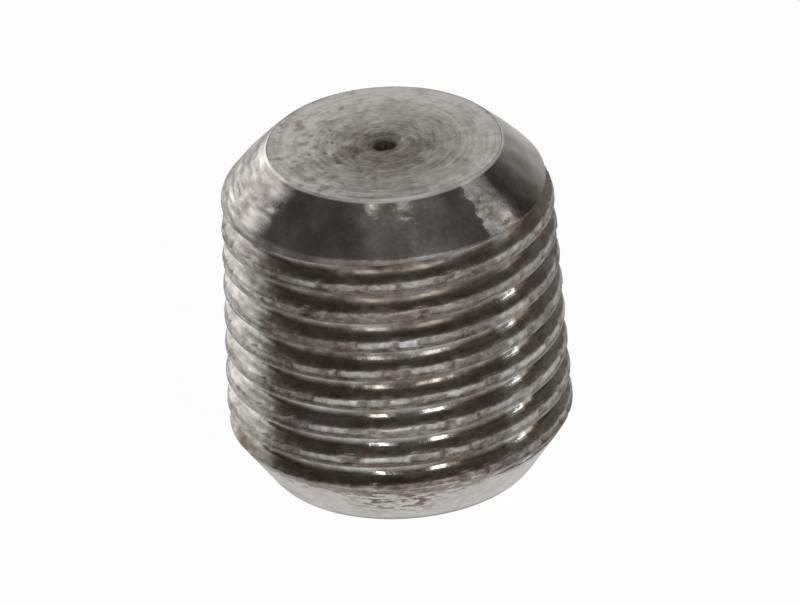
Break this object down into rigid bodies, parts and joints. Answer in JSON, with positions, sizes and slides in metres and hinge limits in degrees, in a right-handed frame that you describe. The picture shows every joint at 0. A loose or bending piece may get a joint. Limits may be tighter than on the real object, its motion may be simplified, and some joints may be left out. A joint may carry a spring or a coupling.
{
  "type": "conical screw plug",
  "caption": "Headless plug with a tapered right-hand thread, a chamfer at each end and a hexagon socket in its large end; screws into a taper pipe port to close it.",
  "frame": {"origin": "centre of the large end face, the one with the hexagon socket, which the plug stands on", "axes": "+Z along the plug's axis towards the small end; the socket's flats face +Y and -Y"},
  "size_m": [0.0098, 0.0098, 0.01],
  "materials": {
    "steel": "bare turned steel, dark and slightly rusty in the thread"
  },
  "bodies": {
    "root": {"plug": "steel"}
  },
  "joints": []
}
